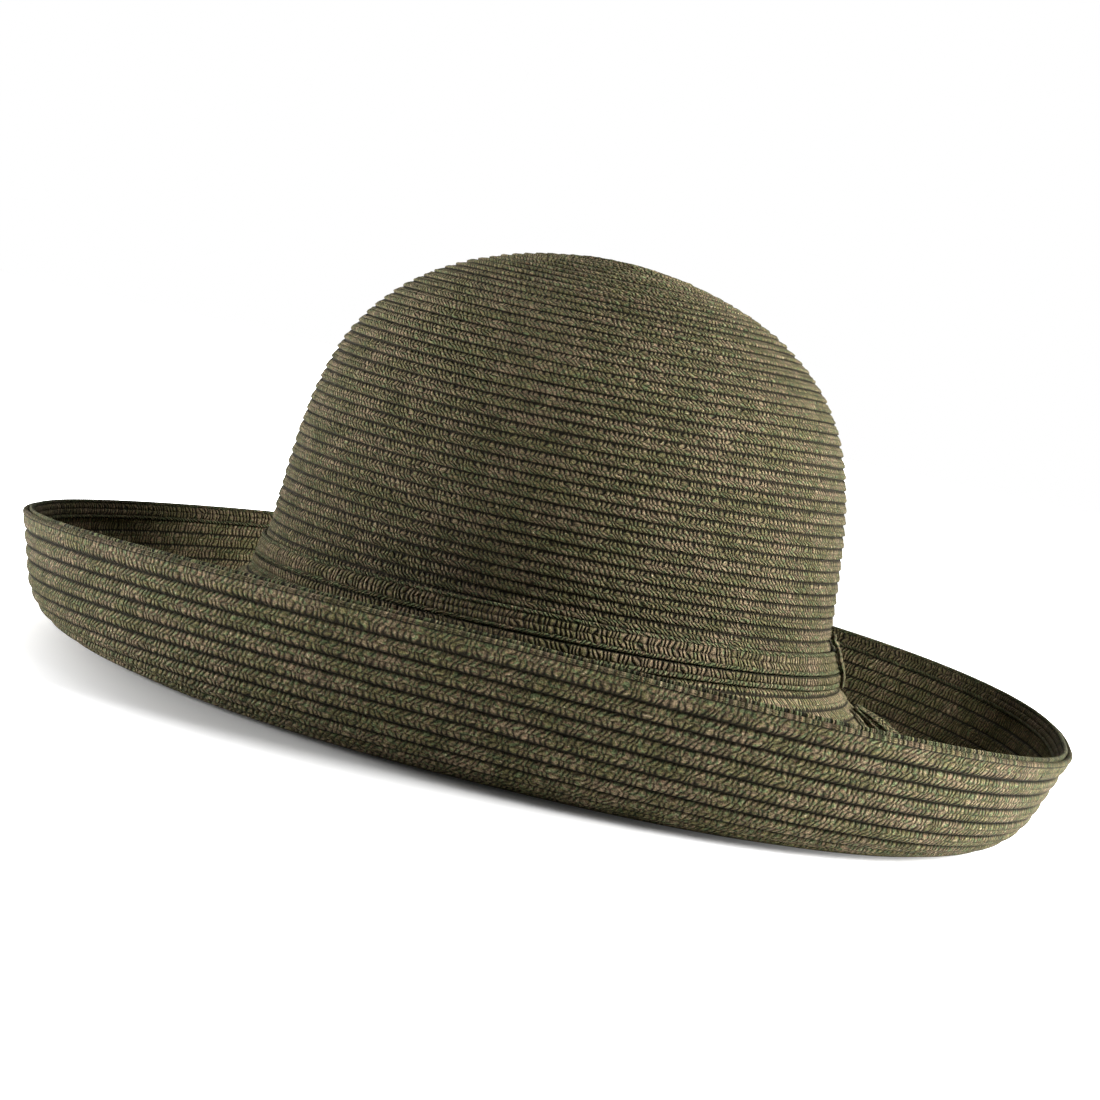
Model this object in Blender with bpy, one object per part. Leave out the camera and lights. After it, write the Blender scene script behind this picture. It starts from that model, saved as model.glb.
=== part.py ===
# Kettle brim sun hat sewn from flat braid: a round crown, a brim that falls away from it and
# turns up all round, a two-row band, a finishing row inside the rim, and a tie at the back.
#
# Metres, +Z up. The hat rests on the fold of its brim at Z = 0. Its front faces -Y, its tie
# is at +Y, and the wearer's left side faces +X. The origin is under the middle of the rim.

import math

import bpy
import bmesh
from mathutils import Vector

# Walls and fits
WALL = 0.0020                  # two overlapping courses of braid
CLEARANCE = 0.0003             # gap between pieces that touch
SEGMENTS = 64                  # facets round the hat

# Crown
CROWN_HALF_LENGTH = 0.0990     # front to back, just above the foot
CROWN_HALF_WIDTH = 0.0865
CROWN_DEPTH = 0.1210           # from the headline to the top
CROWN_TAPER = 0.085            # share by which the sides draw in towards the top
CROWN_FULLNESS = 4.4           # higher keeps the sides upright for longer
CROWN_ROUNDNESS = 1.91         # higher makes the top flatter
FOOT_FLARE_FRONT = 0.0010      # spread of the crown's foot
FOOT_FLARE_BACK = 0.0040
FOOT_FLARE_SHARE = 0.12        # share of the depth that the spread takes

# Headline, where crown and brim meet
HEADLINE_HEIGHT = 0.0380
HEADLINE_RISE = 0.0020         # the back is this much higher, the front this much lower

# Brim
RIM_HALF_LENGTH = 0.1830
RIM_HALF_WIDTH = 0.1600
RIM_HEIGHT_ENDS = 0.0340       # at the front and the back
RIM_HEIGHT_SIDES = 0.0436
RIM_SHAPE_FRONT = 1.9          # 2 is an ellipse, more is squarer
RIM_SHAPE_BACK = 2.5
FOLD_SHAPE_FRONT = 1.9
FOLD_SHAPE_BACK = 2.35
FLARE_FRONT = 0.0090           # how far the rim stands out past the fold
FLARE_BACK = 0.0120
FLARE_SIDE = 0.0120
FOLD_SOFTNESS = 0.0160         # length of brim that the fold's bend takes on each side
FOOT_WIDTH = 0.0040            # flat ring that the hat rests on
SLOPE_CURVE = 1.4              # 1 is a straight cone, more is a bowl
COLLAR_LAP = 0.0050            # first course of the brim, sewn inside the crown's foot

# Band and finishing row
BAND_WIDTH = 0.0070            # one full width of braid
BAND_THICKNESS = 0.0013
BAND_SEAM_HEIGHT = 0.0003      # seam between the two rows, above the headline
NARROW_ROW_SPREAD = 0.0005     # how far the lower row leans out onto the brim
RIM_ROW_WIDTH = 0.0070
RIM_ROW_THICKNESS = 0.0013
RIM_ROW_LIP = 0.0005           # the row stands this much above the brim's own edge

# Tie at the back
WRAP_WIDTH = 0.0070
WRAP_THICKNESS = 0.0014
WRAP_RISE = 0.0050             # length of the wrap above the band
WRAP_DROP = 0.0045             # its lower end, below the headline
TAIL_WIDTH = 0.0050
TAIL_THICKNESS = 0.0014
TAIL_REACH = 0.863             # share of the slope below the wrap that a tail covers
TAIL_LIFT = 0.0040             # how far a tail may spring off the brim
TAIL_SPREAD = 0.0100           # how far a tail may stray to the side

# Rows of the crown's outer face, as shares of its depth
CROWN_ROWS = (
    0.0, 0.03, 0.065, 0.12, 0.22, 0.34, 0.46, 0.58, 0.69, 0.79, 0.87, 0.93, 0.97, 0.992,
)
SLOPE_RINGS = 7
FOLD_RINGS = 4

# Rows of a tail: share of its length, sideways share of TAIL_SPREAD, share of TAIL_LIFT,
# turn about its own length in degrees
TAIL_LEFT_ROWS = (
    (0.00, 0.34, 0.00, 0),
    (0.20, 0.36, 0.10, 20),
    (0.45, 0.40, 0.20, 35),
    (0.70, 0.46, 0.10, 20),
    (1.00, 0.52, 0.00, 0),
)
TAIL_RIGHT_ROWS = (
    (0.00, -0.34, 0.00, 0),
    (0.20, -0.36, 0.70, -20),
    (0.45, -0.42, 1.00, -25),
    (0.70, -0.50, 0.60, -10),
    (1.00, -0.60, 0.00, 0),
)

BRAID_OLIVE = (0.105, 0.100, 0.058, 1.0)
BRAID_SHADE = (0.080, 0.078, 0.046, 1.0)
BRAID_GREEN = (0.090, 0.105, 0.055, 1.0)
BRAID_ROUGHNESS = 0.85
SHARP_ANGLE = math.radians(40.0)
REAR = math.pi / 2.0
PROBE = 0.01                   # small step, in radians or shares, over which directions are taken


def clear_scene():
    for item in list(bpy.data.objects):
        bpy.data.objects.remove(item, do_unlink=True)


# Plan outlines

def angles():
    return [2.0 * math.pi * step / SEGMENTS for step in range(SEGMENTS)]


def oval(angle, half_width, front, back, shape_front=2.0, shape_back=2.0):
    """Point of an oval in plan whose front and back have their own reach and squareness."""
    c = math.cos(angle)
    s = math.sin(angle)
    shape = shape_front if s < 0.0 else shape_back
    reach = front if s < 0.0 else back
    scale = (abs(c) ** shape + abs(s) ** shape) ** (-1.0 / shape)
    return Vector((half_width * c * scale, reach * s * scale, 0.0))


def headline(angle):
    return HEADLINE_HEIGHT + HEADLINE_RISE * math.sin(angle)


# Crown surface

def crown_point(angle, share, out=0.0):
    """Point of the crown's outer face at a share of its depth, moved out by a stand-off."""
    taken = max(1.0 - share ** CROWN_FULLNESS, 0.0) ** (1.0 / CROWN_ROUNDNESS)
    taken *= 1.0 - CROWN_TAPER * share
    back_share = 0.5 + 0.5 * math.sin(angle)
    flare = FOOT_FLARE_FRONT + (FOOT_FLARE_BACK - FOOT_FLARE_FRONT) * back_share
    flare *= max(1.0 - share / FOOT_FLARE_SHARE, 0.0) ** 2
    grow = flare + out
    half_length = CROWN_HALF_LENGTH * taken + grow
    point = oval(angle, CROWN_HALF_WIDTH * taken + grow, half_length, half_length)
    top = HEADLINE_HEIGHT + CROWN_DEPTH
    point.z = headline(angle) * (1.0 - share) + top * share
    return point


def crown_height_point(angle, height, out):
    """Point at a height above the headline and a stand-off from the crown's outer face."""
    depth = HEADLINE_HEIGHT + CROWN_DEPTH - headline(angle)
    share = max(height / depth, 0.0)
    point = crown_point(angle, share, out)
    point.z = headline(angle) + height
    return point


# Brim surface: the underside, from the collar inside the crown out to the rim

def rim_point(angle):
    length = RIM_HALF_LENGTH
    point = oval(angle, RIM_HALF_WIDTH, length, length, RIM_SHAPE_FRONT, RIM_SHAPE_BACK)
    end_share = math.sin(angle) ** 2
    point.z = RIM_HEIGHT_SIDES + (RIM_HEIGHT_ENDS - RIM_HEIGHT_SIDES) * end_share
    return point


def fold_point(angle, inset=0.0):
    """Where the slope and the turned-up wall would meet in a sharp corner on the floor."""
    return oval(
        angle,
        RIM_HALF_WIDTH - FLARE_SIDE - inset,
        RIM_HALF_LENGTH - FLARE_FRONT - inset,
        RIM_HALF_LENGTH - FLARE_BACK - inset,
        FOLD_SHAPE_FRONT,
        FOLD_SHAPE_BACK,
    )


def collar_point(angle, height):
    """Inner face of the collar, inside the crown's foot with twice the usual gap."""
    inset = 2.0 * WALL + 2.0 * CLEARANCE
    return crown_height_point(angle, height, -inset)


def slope_start(angle):
    """Bottom of the collar, low enough for the brim's upper face to clear the crown's foot."""
    drop = 2.0 * CLEARANCE + 0.5 * WALL
    return collar_point(angle, -drop)


def slope_point(angle, share):
    """Underside of the slope, from the collar at 0 to the flat ring on the floor at 1."""
    start = slope_start(angle)
    end = fold_point(angle, FOLD_SOFTNESS + FOOT_WIDTH)
    point = start.lerp(end, share)
    point.z = start.z * max(1.0 - share, 0.0) ** SLOPE_CURVE
    return point


def slope_steepness(angle):
    start = slope_start(angle)
    end = fold_point(angle, FOLD_SOFTNESS + FOOT_WIDTH)
    run = Vector((end.x - start.x, end.y - start.y)).length
    return SLOPE_CURVE * start.z / run


def fold_curve_point(angle, share):
    """The bend, a curve from the flat ring round to the wall."""
    corner = fold_point(angle)
    start = fold_point(angle, FOLD_SOFTNESS)
    end = corner + (rim_point(angle) - corner).normalized() * FOLD_SOFTNESS
    return start.lerp(corner, share).lerp(corner.lerp(end, share), share)


def brim_rings():
    rings = [
        [collar_point(angle, COLLAR_LAP) for angle in angles()],
        [collar_point(angle, 0.5 * COLLAR_LAP) for angle in angles()],
        [slope_start(angle) for angle in angles()],
    ]
    for step in range(1, SLOPE_RINGS + 1):
        rings.append([slope_point(angle, step / SLOPE_RINGS) for angle in angles()])
    for step in range(FOLD_RINGS + 1):
        rings.append([fold_curve_point(angle, step / FOLD_RINGS) for angle in angles()])
    rings.append([rim_point(angle) for angle in angles()])
    return rings


def wall_frame(angle):
    """At the rim: the way down the wall, and the way out of its inner face."""
    rim = rim_point(angle)
    down = (fold_point(angle) - rim).normalized()
    along = (rim_point(angle + PROBE) - rim_point(angle - PROBE)).normalized()
    return down, along.cross(down).normalized()


# Mesh builders

def make_material(name, colour):
    material = bpy.data.materials.new(name)
    material.use_nodes = True
    shader = material.node_tree.nodes["Principled BSDF"]
    shader.inputs["Base Color"].default_value = colour
    shader.inputs["Roughness"].default_value = BRAID_ROUGHNESS
    shader.inputs["Metallic"].default_value = 0.0
    material.diffuse_color = colour
    return material


def face_outwards(mesh_data):
    """Turn all faces one way, with the face furthest from the hat's axis looking away from it."""
    bmesh.ops.recalc_face_normals(mesh_data, faces=mesh_data.faces)
    furthest = max(mesh_data.faces, key=lambda face: face.calc_center_median().xy.length)
    if furthest.normal.dot(furthest.calc_center_median()) < 0.0:
        bmesh.ops.reverse_faces(mesh_data, faces=mesh_data.faces)


def finish_object(name, mesh_data, colour, open_skin=False):
    if open_skin:
        face_outwards(mesh_data)
    else:
        bmesh.ops.recalc_face_normals(mesh_data, faces=mesh_data.faces)
    mesh = bpy.data.meshes.new(name)
    mesh_data.to_mesh(mesh)
    mesh_data.free()
    mesh.shade_smooth()
    mesh.set_sharp_from_angle(angle=SHARP_ANGLE)
    item = bpy.data.objects.new(name, mesh)
    bpy.context.scene.collection.objects.link(item)
    mesh.materials.append(make_material(name + "_braid", colour))
    return item


def add_skin(mesh_data, rings, closed=False):
    """Quads from each ring of points to the next, and back to the first if closed."""
    loops = [[mesh_data.verts.new(point) for point in ring] for ring in rings]
    pairs = list(zip(loops, loops[1:]))
    if closed:
        pairs.append((loops[-1], loops[0]))
    for lower, upper in pairs:
        count = len(lower)
        for i in range(count):
            j = (i + 1) % count
            mesh_data.faces.new((lower[i], lower[j], upper[j], upper[i]))
    return loops


def thicken(item):
    """Give the skin its wall, on the inner side, so that the outer face keeps its size."""
    modifier = item.modifiers.new("wall", "SOLIDIFY")
    modifier.thickness = WALL
    modifier.offset = -1.0
    modifier.use_even_offset = True
    modifier.use_rim = True


def hoop(name, rings, colour):
    """A ring of braid: its corner rings are skinned one to the next and back again."""
    mesh_data = bmesh.new()
    add_skin(mesh_data, rings, closed=True)
    return finish_object(name, mesh_data, colour)


def strip(name, sections, colour):
    """A strip of braid: one loop of corners for each section, with both ends filled."""
    mesh_data = bmesh.new()
    loops = add_skin(mesh_data, sections)
    for loop in (loops[0], loops[-1]):
        bmesh.ops.contextual_create(mesh_data, geom=loop)
    return finish_object(name, mesh_data, colour)


# Pieces

def make_crown():
    mesh_data = bmesh.new()
    rings = [[crown_point(angle, share) for angle in angles()] for share in CROWN_ROWS]
    loops = add_skin(mesh_data, rings)
    cap = bmesh.ops.contextual_create(mesh_data, geom=loops[-1])
    top = HEADLINE_HEIGHT + CROWN_DEPTH
    pole = bmesh.ops.poke(mesh_data, faces=cap["faces"])["verts"][0]
    pole.co = Vector((0.0, 0.0, top))
    item = finish_object("crown", mesh_data, BRAID_OLIVE, open_skin=True)
    thicken(item)
    return item


def make_brim():
    mesh_data = bmesh.new()
    add_skin(mesh_data, brim_rings())
    item = finish_object("brim", mesh_data, BRAID_OLIVE, open_skin=True)
    thicken(item)
    return item


def make_band_wide_row():
    low = BAND_SEAM_HEIGHT + 0.5 * CLEARANCE
    high = low + BAND_WIDTH
    near = CLEARANCE
    far = CLEARANCE + BAND_THICKNESS
    corners = ((low, near), (high, near), (high, far), (low, far))
    rings = [
        [crown_height_point(angle, height, out) for angle in angles()]
        for height, out in corners
    ]
    return hoop("band_wide_row", rings, BRAID_GREEN)


def narrow_row_corner(angle, height_top, out, foot):
    """Corner of the lower row: at the seam, or down on the brim's upper face for the foot."""
    if not foot:
        return crown_height_point(angle, height_top, out)
    steepness = slope_steepness(angle)
    seat = steepness * (out + WALL + 2.0 * CLEARANCE) + CLEARANCE
    lift = CLEARANCE * math.sqrt(1.0 + steepness ** 2)
    return crown_height_point(angle, lift - seat, out)


def make_band_narrow_row():
    height_top = BAND_SEAM_HEIGHT - 0.5 * CLEARANCE
    near_top = CLEARANCE
    near_foot = CLEARANCE + NARROW_ROW_SPREAD
    corners = (
        (near_top, False),
        (near_foot, True),
        (near_foot + BAND_THICKNESS, True),
        (near_top + BAND_THICKNESS, False),
    )
    rings = [
        [narrow_row_corner(angle, height_top, out, foot) for angle in angles()]
        for out, foot in corners
    ]
    return hoop("band_narrow_row", rings, BRAID_GREEN)


def rim_row_corner(angle, drop, stand_off):
    down, inward = wall_frame(angle)
    return rim_point(angle) + down * drop + inward * (WALL + stand_off)


def make_rim_braid():
    near = CLEARANCE
    far = CLEARANCE + RIM_ROW_THICKNESS
    corners = (
        (-RIM_ROW_LIP, near),
        (-RIM_ROW_LIP, far),
        (RIM_ROW_WIDTH - RIM_ROW_LIP, far),
        (RIM_ROW_WIDTH - RIM_ROW_LIP, near),
    )
    rings = [
        [rim_row_corner(angle, drop, stand_off) for angle in angles()]
        for drop, stand_off in corners
    ]
    return hoop("rim_braid", rings, BRAID_OLIVE)


def wrap_stand_off():
    """Stand-off of the wrap's inner face at its lower end, clear of the band's lower row."""
    return BAND_THICKNESS + 3.0 * CLEARANCE + NARROW_ROW_SPREAD


def make_tie_wrap():
    """The strip that crosses the band at the back, from the crown down to the brim."""
    high = BAND_SEAM_HEIGHT + BAND_WIDTH
    on_crown = 2.0 * CLEARANCE
    on_band = BAND_THICKNESS + 3.0 * CLEARANCE
    on_row = wrap_stand_off()
    path = (
        (high + WRAP_RISE, on_crown),
        (high + 2.0 * BAND_THICKNESS, on_crown),
        (high + BAND_THICKNESS, on_band),
        (BAND_SEAM_HEIGHT, on_band),
        (-WRAP_DROP, on_row),
    )
    half = Vector((0.5 * WRAP_WIDTH, 0.0, 0.0))
    sections = []
    for height, out in path:
        near = crown_height_point(REAR, height, out)
        far = crown_height_point(REAR, height, out + WRAP_THICKNESS)
        sections.append([near - half, near + half, far + half, far - half])
    return strip("tie_wrap", sections, BRAID_SHADE)


def brim_top_frame(share):
    """At the back: a point on the brim's upper face and the way out of it."""
    point = slope_point(REAR, share)
    down = (slope_point(REAR, share + PROBE) - slope_point(REAR, share - PROBE)).normalized()
    out = Vector((1.0, 0.0, 0.0)).cross(down).normalized()
    return point + out * WALL, out


def make_tail(name, rows):
    """A free end of the tie, lying down the slope of the brim from the wrap's lower end."""
    run = (slope_point(REAR, 1.0) - slope_point(REAR, 0.0)).length
    reach = 2.0 * WALL + 4.0 * CLEARANCE + wrap_stand_off() + WRAP_THICKNESS
    first = reach * math.sqrt(1.0 + slope_steepness(REAR) ** 2) / run
    side = Vector((1.0, 0.0, 0.0))
    sections = []
    for along, side_share, lift_share, turn in rows:
        base, out = brim_top_frame(first + along * TAIL_REACH * (1.0 - first))
        radians = math.radians(turn)
        across = side * math.cos(radians) + out * math.sin(radians)
        thick = out * math.cos(radians) - side * math.sin(radians)
        rest = 0.5 * TAIL_THICKNESS + 0.5 * TAIL_WIDTH * abs(math.sin(radians)) + 2.0 * CLEARANCE
        centre = base + out * (rest + TAIL_LIFT * lift_share) + side * (TAIL_SPREAD * side_share)
        half = across * (0.5 * TAIL_WIDTH)
        deep = thick * (0.5 * TAIL_THICKNESS)
        low, high = centre - deep, centre + deep
        sections.append([low - half, low + half, high + half, high - half])
    return strip(name, sections, BRAID_SHADE)


def main():
    clear_scene()
    make_crown()
    make_brim()
    make_rim_braid()
    make_band_wide_row()
    make_band_narrow_row()
    make_tie_wrap()
    make_tail("tie_tail_left", TAIL_LEFT_ROWS)
    make_tail("tie_tail_right", TAIL_RIGHT_ROWS)


main()
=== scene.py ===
# %% [markdown]
# # Kettle brim sun hat
# A sun hat sewn from one long braid: a round crown, a brim that falls away from it and turns up
# all round, a two-row band and a short tie at the back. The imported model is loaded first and
# stays as it is. Every soft piece is then modelled over its plain solid, in the same place.

# %% Load the fixed frame
import math

import bpy
import numpy as np
from mathutils import Matrix, Vector


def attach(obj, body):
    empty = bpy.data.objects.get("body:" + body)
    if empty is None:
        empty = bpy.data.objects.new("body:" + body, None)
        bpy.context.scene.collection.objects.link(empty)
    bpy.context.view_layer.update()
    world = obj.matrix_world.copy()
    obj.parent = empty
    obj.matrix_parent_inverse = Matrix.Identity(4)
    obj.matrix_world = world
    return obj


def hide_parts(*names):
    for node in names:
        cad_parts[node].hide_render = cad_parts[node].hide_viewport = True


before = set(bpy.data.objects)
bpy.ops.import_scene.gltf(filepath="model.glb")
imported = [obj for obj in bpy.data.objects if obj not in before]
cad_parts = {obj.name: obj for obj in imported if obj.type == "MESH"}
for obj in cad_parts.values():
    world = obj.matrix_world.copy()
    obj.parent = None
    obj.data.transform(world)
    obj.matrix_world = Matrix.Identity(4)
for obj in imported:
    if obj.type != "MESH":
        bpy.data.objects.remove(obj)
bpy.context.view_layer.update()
print("Nodes in the frame:", ", ".join(sorted(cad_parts)))

# %% [markdown]
# ## Measurements
# The hat's main sizes, in metres. The origin lies under the middle of the rim, the front looks
# along -Y, the tie is at +Y and the hat stands on the fold of its brim at Z = 0.

# %% Sizes of crown, brim and trims
WALL = 0.0020
CLEARANCE = 0.0003
CROWN_HALF_LENGTH, CROWN_HALF_WIDTH, CROWN_DEPTH = 0.0990, 0.0865, 0.1210
CROWN_TAPER, CROWN_FULLNESS, CROWN_ROUNDNESS = 0.085, 4.4, 1.91
FOOT_FLARE_FRONT, FOOT_FLARE_BACK, FOOT_FLARE_SHARE = 0.0010, 0.0040, 0.12
HEADLINE_HEIGHT, HEADLINE_RISE = 0.0380, 0.0020
RIM_HALF_LENGTH, RIM_HALF_WIDTH = 0.1830, 0.1600
RIM_HEIGHT_ENDS, RIM_HEIGHT_SIDES = 0.0340, 0.0436
RIM_SHAPE_FRONT, RIM_SHAPE_BACK = 1.9, 2.5
FOLD_SHAPE_FRONT, FOLD_SHAPE_BACK = 1.9, 2.35
FLARE_FRONT, FLARE_BACK, FLARE_SIDE = 0.0090, 0.0120, 0.0120
FOLD_SOFTNESS, FOOT_WIDTH, SLOPE_CURVE = 0.0160, 0.0040, 1.4
COLLAR_LAP = 0.0050
BAND_WIDTH, BAND_THICKNESS, BAND_SEAM_HEIGHT = 0.0070, 0.0013, 0.0003
NARROW_ROW_SPREAD = 0.0005
RIM_ROW_WIDTH, RIM_ROW_THICKNESS, RIM_ROW_LIP = 0.0070, 0.0013, 0.0005
WRAP_WIDTH, WRAP_THICKNESS, WRAP_RISE, WRAP_DROP = 0.0070, 0.0014, 0.0050, 0.0045
TAIL_WIDTH, TAIL_THICKNESS, TAIL_REACH = 0.0050, 0.0014, 0.863
TAIL_LIFT, TAIL_SPREAD = 0.0040, 0.0100
REAR = 0.5 * math.pi
print("Crown depth", CROWN_DEPTH, "rim length", 2 * RIM_HALF_LENGTH, "rim width", 2 * RIM_HALF_WIDTH)

# %% [markdown]
# ## The surfaces that the braid is sewn to
# A blocked hat has smooth surfaces that a short formula can give: ovals in plan that grow and
# shrink with height. The functions take whole arrays of angles, so that a surface with
# thousands of points is worked out in one go.

# %% Plan oval and headline
def oval(angle, half_width, front, back, shape_front=2.0, shape_back=2.0):
    c, s = np.cos(angle), np.sin(angle)
    shape = np.where(s < 0.0, shape_front, shape_back)
    reach = np.where(s < 0.0, front, back)
    scale = (np.abs(c) ** shape + np.abs(s) ** shape) ** (-1.0 / shape)
    return half_width * c * scale, reach * s * scale


def headline(angle):
    return HEADLINE_HEIGHT + HEADLINE_RISE * np.sin(angle)


def points(x, y, z):
    return np.stack(np.broadcast_arrays(x, y, z), axis=-1)


print("Headline height at the back:", round(float(headline(REAR)), 4))

# %% [markdown]
# The crown's sides are nearly upright over the band and close in a smooth dome. Its plan keeps the
# headline's oval, and its foot spreads a little, most at the back.

# %% Crown surface
def crown_point(angle, share, out=0.0):
    taken = np.maximum(1.0 - share ** CROWN_FULLNESS, 0.0) ** (1.0 / CROWN_ROUNDNESS)
    taken = taken * (1.0 - CROWN_TAPER * share)
    flare = FOOT_FLARE_FRONT + (FOOT_FLARE_BACK - FOOT_FLARE_FRONT) * (0.5 + 0.5 * np.sin(angle))
    grow = flare * np.maximum(1.0 - share / FOOT_FLARE_SHARE, 0.0) ** 2 + out
    length = CROWN_HALF_LENGTH * taken + grow
    x, y = oval(angle, CROWN_HALF_WIDTH * taken + grow, length, length)
    return points(x, y, headline(angle) * (1.0 - share) + (HEADLINE_HEIGHT + CROWN_DEPTH) * share)


def crown_height_point(angle, height, out):
    depth = HEADLINE_HEIGHT + CROWN_DEPTH - headline(angle)
    point = crown_point(angle, np.maximum(height / depth, 0.0), out)
    point[..., 2] = headline(angle) + height
    return point


print("Crown foot at the side:", crown_point(np.array(0.0), np.array(0.0)).round(4))

# %% [markdown]
# The brim's underside starts inside the crown's foot, falls in a shallow bowl to the flat ring on
# the floor, bends and rises to the rim. The rim is higher at the sides than at the two ends.

# %% Brim surface
def rim_point(angle):
    length = RIM_HALF_LENGTH
    x, y = oval(angle, RIM_HALF_WIDTH, length, length, RIM_SHAPE_FRONT, RIM_SHAPE_BACK)
    return points(x, y, RIM_HEIGHT_SIDES + (RIM_HEIGHT_ENDS - RIM_HEIGHT_SIDES) * np.sin(angle) ** 2)


def fold_point(angle, inset=0.0):
    x, y = oval(
        angle, RIM_HALF_WIDTH - FLARE_SIDE - inset, RIM_HALF_LENGTH - FLARE_FRONT - inset,
        RIM_HALF_LENGTH - FLARE_BACK - inset, FOLD_SHAPE_FRONT, FOLD_SHAPE_BACK,
    )
    return points(x, y, 0.0)


def collar_point(angle, height):
    return crown_height_point(angle, height, -2.0 * WALL - 2.0 * CLEARANCE)


def slope_point(angle, share):
    start = collar_point(angle, -2.0 * CLEARANCE - 0.5 * WALL)
    point = start + (fold_point(angle, FOLD_SOFTNESS + FOOT_WIDTH) - start) * share
    point[..., 2] = start[..., 2] * np.maximum(1.0 - share, 0.0) ** SLOPE_CURVE
    return point


def unit(vectors):
    return vectors / np.maximum(np.linalg.norm(vectors, axis=-1, keepdims=True), 1e-12)


def brim_path(angle):
    """The underside at each angle, as points from the collar's top out to the rim."""
    corner, start = fold_point(angle), fold_point(angle, FOLD_SOFTNESS)
    rim = rim_point(angle)
    end = corner + unit(rim - corner) * FOLD_SOFTNESS
    path = [collar_point(angle, COLLAR_LAP * share) for share in np.linspace(1.0, 0.0, 6)]
    path += [slope_point(angle, share) for share in np.linspace(0.0, 1.0, 48)]
    for share in np.linspace(0.0, 1.0, 40):
        low, high = start + (corner - start) * share, corner + (end - corner) * share
        path.append(low + (high - low) * share)
    path += [end + (rim - end) * share for share in np.linspace(0.0, 1.0, 24)[1:]]
    return np.stack(path)


print("Rim at the back:", rim_point(np.array(REAR)).round(4))

# %% [markdown]
# ## A grid of braid
# Every soft piece starts as Blender's own grid. One side of the grid runs round the hat and the
# other runs across the courses of braid. Its points are moved onto the surface and lifted by the
# relief of the braid. The seam is then merged. The UV map counts stitches along the braid and
# courses across it, so that a finish can follow the real stitches.

# %% Make a grid and put it in place
def deselect_all():
    if bpy.context.mode != "OBJECT":
        bpy.ops.object.mode_set(mode="OBJECT")
    bpy.ops.object.select_all(action="DESELECT")


def braid_grid(name, place, stitches, across, finish_of_row, finishes):
    """place is rows x columns x 3. Each row of faces has its stitch count, v range and finish."""
    rows, columns = place.shape[0] - 1, place.shape[1] - 1
    deselect_all()
    bpy.ops.mesh.primitive_grid_add(x_subdivisions=columns, y_subdivisions=rows, size=1.0)
    piece = bpy.context.active_object
    piece.name = piece.data.name = name
    mesh = piece.data
    flat = np.empty(len(mesh.vertices) * 3)
    mesh.vertices.foreach_get("co", flat)
    flat = flat.reshape(-1, 3)
    column = np.rint((flat[:, 0] + 0.5) * columns).astype(int)
    row = np.rint((flat[:, 1] + 0.5) * rows).astype(int)
    mesh.vertices.foreach_set("co", place[row, column].ravel())
    corner = np.empty(len(mesh.loops), dtype=int)
    mesh.loops.foreach_get("vertex_index", corner)
    corner = corner.reshape(-1, 4)
    face_row = row[corner].min(axis=1)
    step = np.linalg.norm(np.diff(place[rows // 2], axis=0), axis=-1)
    way = np.concatenate(([0.0], np.cumsum(step))) / step.sum()
    u = way[column[corner]] * stitches[face_row][:, None]
    v = np.where(row[corner] == face_row[:, None], across[face_row, 0][:, None],
                 across[face_row, 1][:, None])
    mesh.uv_layers[0].data.foreach_set("uv", np.stack((u, v), axis=-1).ravel())
    for finish in finishes:
        mesh.materials.append(finish)
    mesh.polygons.foreach_set("material_index", finish_of_row[face_row].astype(np.int32))
    mesh.update()
    return piece


def close_and_smooth(piece):
    deselect_all()
    piece.select_set(True)
    bpy.context.view_layer.objects.active = piece
    bpy.ops.object.mode_set(mode="EDIT")
    bpy.ops.mesh.select_all(action="SELECT")
    bpy.ops.mesh.remove_doubles(threshold=1e-6)
    bpy.ops.mesh.select_all(action="SELECT")
    bpy.ops.mesh.normals_make_consistent(inside=False)
    bpy.ops.object.mode_set(mode="OBJECT")
    bpy.ops.object.shade_smooth()
    piece.data.calc_loop_triangles()
    print(piece.name, "triangles:", len(piece.data.loop_triangles))


def dress(piece, node):
    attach(piece, "root")
    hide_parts(node)

# %% [markdown]
# Sewn courses are never quite even. The helpers here blend from one height to another, make slow
# waves along the braid and round off the cut edge of a wall.

# %% Helpers for relief and wandering lines
def smooth(value, low, high):
    share = np.clip((value - low) / (high - low), 0.0, 1.0)
    return share * share * (3.0 - 2.0 * share)


def wander(turns, seed):
    """A slow, irregular wave between about -1 and 1 along the braid. One turn is one round."""
    random = np.random.default_rng(seed)
    total = np.zeros_like(turns)
    for rate in (0.31, 0.83, 1.7, 2.9, 5.3, 9.1):
        total += np.sin(2.0 * math.pi * (turns * rate + random.random())) / (1.0 + 0.35 * rate)
    return total / 2.2


def half_round(base, normal, tangent, wall, steps):
    """Rows that carry the outer face round a rounded edge to the inner face."""
    turns = [math.pi * step / (steps + 1) for step in range(1, steps + 1)]
    return [
        base - normal * (0.5 * wall) * (1.0 - math.cos(turn)) + tangent * (0.5 * wall) * math.sin(turn)
        for turn in turns
    ]


print("Helpers ready")

# %% [markdown]
# ## Shader expressions
# A finish is a formula, so it is written as one. A small class wraps a socket: adding or
# multiplying two of them adds Math nodes. One method makes every other kind of node.

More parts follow.
